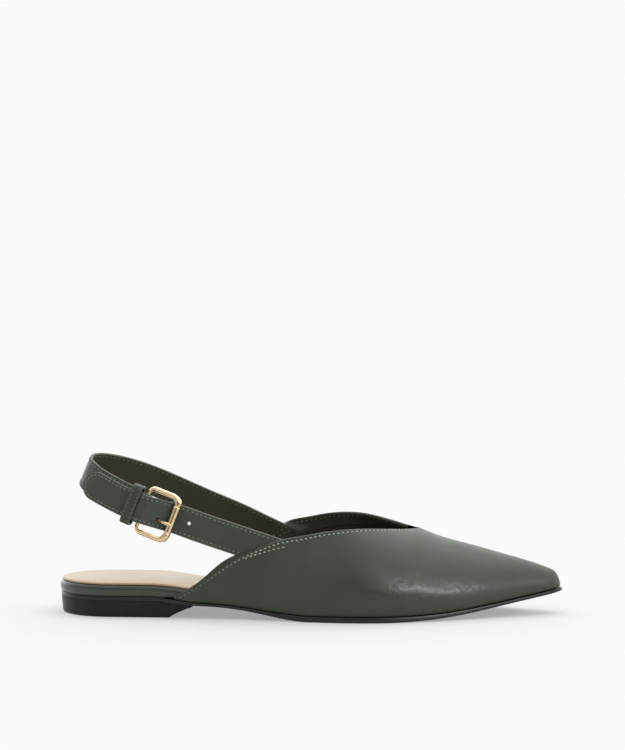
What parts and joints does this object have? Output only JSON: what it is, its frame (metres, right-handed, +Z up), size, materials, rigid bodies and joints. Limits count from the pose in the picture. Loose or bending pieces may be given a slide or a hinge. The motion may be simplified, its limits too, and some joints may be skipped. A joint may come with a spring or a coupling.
{
  "type": "sling back flat",
  "caption": "Right pointed-toe leather flat with a V-shaped topline, an ankle sling strap with a buckle, a low heel and an open heel seat.",
  "frame": {"origin": "middle of the flat underside of the heel, on the floor", "axes": "+X towards the toe, +Y towards the inner (big toe) side of this right shoe, +Z up"},
  "size_m": [0.2689, 0.082, 0.0842],
  "materials": {
    "upper_leather": "smooth, satin",
    "strap_leather": "smooth, satin, stitched edges",
    "sock_leather": "matt",
    "sole_rubber": "satin",
    "gold_metal": "polished"
  },
  "bodies": {
    "root": {"outsole": "sole_rubber", "heel": "sole_rubber", "footbed": "upper_leather", "insole": "sock_leather", "upper": "upper_leather", "sling_strap": "strap_leather", "buckle_strap": "strap_leather", "keeper": "strap_leather", "buckle_frame": "gold_metal", "buckle_prong": "gold_metal"}
  },
  "joints": []
}
